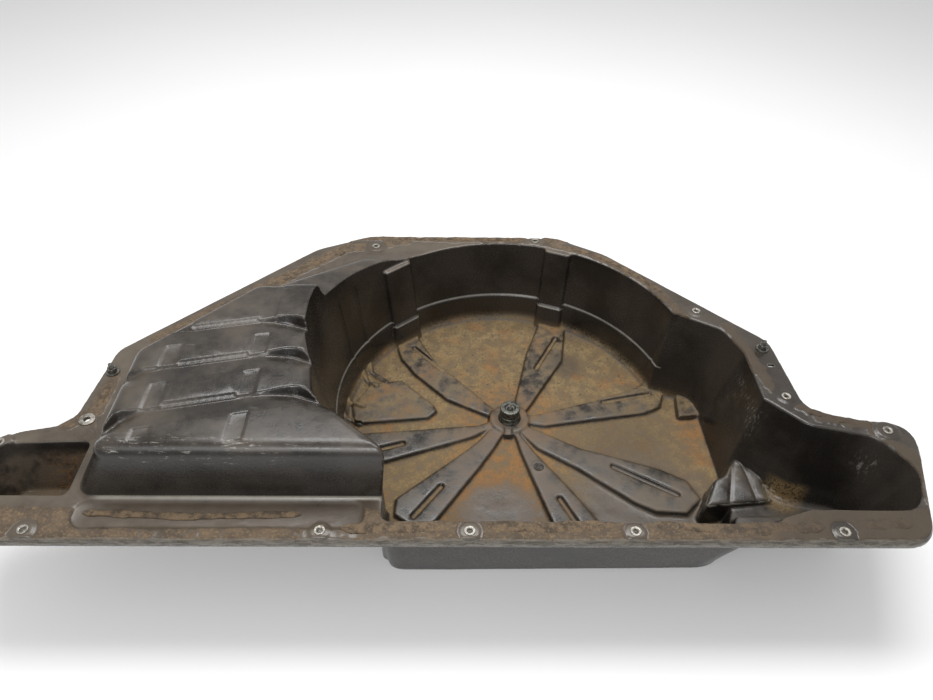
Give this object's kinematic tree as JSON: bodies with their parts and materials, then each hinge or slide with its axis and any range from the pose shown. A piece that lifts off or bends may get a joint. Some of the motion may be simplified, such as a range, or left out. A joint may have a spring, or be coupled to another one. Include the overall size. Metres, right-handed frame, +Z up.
{
  "type": "spare wheel well tub",
  "caption": "Moulded boot-floor tub with a round spare-wheel well, ribbed floor, hold-down post, raised platform, side pockets and a bolt-down flange.",
  "frame": {"origin": "centre of the bounding box, on the surface that the flat underside of the wheel well stands on", "axes": "+X to the right of a person at the straight front edge, +Y from the front edge to the back, +Z up out of the well"},
  "size_m": [1.5454, 0.79, 0.3],
  "materials": {
    "moulded_plastic": "satin black glass-filled moulding, dusty, scuffed and stained",
    "dark_steel": "dull dark plated steel",
    "zinc_steel": "dull zinc plate with light corrosion",
    "rubber": "matte",
    "sealant": "dry, dirty, crumbling"
  },
  "bodies": {
    "root": {"tub_shell": "moulded_plastic", "hold_down_post": "dark_steel", "post_thread_insert": "zinc_steel", "post_washer": "zinc_steel", "post_nut": "zinc_steel", "sleeve_front_far_left": "zinc_steel", "sleeve_front_left": "zinc_steel", "sleeve_front_centre": "zinc_steel", "sleeve_front_right": "zinc_steel", "sleeve_front_far_right": "zinc_steel", "sleeve_right_lobe": "zinc_steel", "sleeve_left_lobe": "zinc_steel", "sleeve_right_neck": "zinc_steel", "sleeve_right_diagonal": "zinc_steel", "sleeve_back_left": "zinc_steel", "sleeve_back_right": "zinc_steel", "locating_stud_left": "dark_steel", "locating_stud_right": "dark_steel", "stud_nut_left": "dark_steel", "stud_nut_right": "dark_steel", "shoulder_washer": "zinc_steel", "blanking_plug": "rubber", "sealant_front_left": "sealant", "sealant_front_mid_left": "sealant", "sealant_front_mid_right": "sealant", "sealant_front_right": "sealant", "sealant_front_corner": "sealant", "sealant_left_front": "sealant", "sealant_right_neck": "sealant", "sealant_right_diagonal": "sealant", "sealant_back": "sealant", "sealant_left_diagonal": "sealant", "sealant_left_neck": "sealant"}
  },
  "joints": []
}
